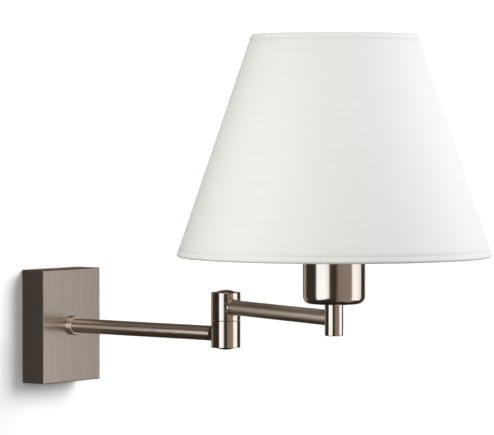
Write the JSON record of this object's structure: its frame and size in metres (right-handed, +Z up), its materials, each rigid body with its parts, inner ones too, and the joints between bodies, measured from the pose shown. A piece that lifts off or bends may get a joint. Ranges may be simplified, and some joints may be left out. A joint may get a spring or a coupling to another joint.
{
  "type": "swing-arm wall lamp",
  "caption": "Wall lamp with a rectangular wall box, a fixed tube arm, a swivel elbow, a swinging tube arm and a tapered fabric shade on an upright screw lampholder.",
  "frame": {"origin": "centre of the wall box on the wall plane, midway between the two wall screw slots", "axes": "+Z up, +Y into the wall so that the lamp reaches out along -Y, +X to the right for someone who faces the wall"},
  "size_m": [0.2519, 0.4888, 0.3003],
  "materials": {
    "brushed_nickel": "brushed nickel plate, vertical grain",
    "satin_nickel": "satin nickel plated tube",
    "polished_nickel": "polished nickel plate",
    "zinc_steel": "zinc plated steel",
    "brass": "turned and pressed brass",
    "white_moulding": "moulded white polyamide",
    "black_moulding": "moulded black thermoset",
    "flex_sheath": "white sheathed inner flex",
    "coated_wire": "white coated steel wire",
    "shade_fabric": "off-white slub weave on a stiff lining"
  },
  "bodies": {
    "wall_unit": {"wall_bracket": "zinc_steel", "wall_cover": "brushed_nickel", "cover_screws": "zinc_steel", "terminal_block": "white_moulding", "terminal_inserts": "brass", "terminal_screws": "zinc_steel", "terminal_fixing_screws": "zinc_steel", "earth_washer": "zinc_steel", "earth_screw": "brass", "arm_nipple": "brass", "arm_washer": "zinc_steel", "arm_nut": "zinc_steel", "arm_collar": "satin_nickel", "fixed_arm_tube": "satin_nickel", "lower_knuckle": "polished_nickel", "lower_knuckle_cap": "polished_nickel", "pivot_tube": "brass", "pivot_lower_nut": "zinc_steel", "pivot_upper_nut": "zinc_steel", "friction_washer": "white_moulding", "spring_washer": "zinc_steel", "stop_pin": "zinc_steel", "fixed_arm_cable": "flex_sheath"},
    "swing_arm": {"upper_knuckle": "polished_nickel", "upper_knuckle_cap": "polished_nickel", "swing_arm_tube": "satin_nickel", "head_post": "polished_nickel", "head_nipple": "brass", "holder_cup": "polished_nickel", "cup_washer": "zinc_steel", "cup_nut": "zinc_steel", "holder_base": "black_moulding", "holder_skirt": "black_moulding", "holder_insert": "black_moulding", "holder_terminal_screws": "zinc_steel", "holder_screw_shell": "brass", "holder_contact": "brass", "shade_ring_nut": "black_moulding", "shade_carrier": "coated_wire", "shade_spokes": "coated_wire", "shade_bottom_ring": "coated_wire", "shade_top_ring": "coated_wire", "shade": "shade_fabric", "swing_arm_cable": "flex_sheath"}
  },
  "joints": [
    {"name": "elbow_swing", "type": "hinge", "parent": "wall_unit", "child": "swing_arm", "pos_m": [0, -0.2, 0], "axis": [0, 0, 1], "range_deg": [-88.5, 131.5]}
  ]
}
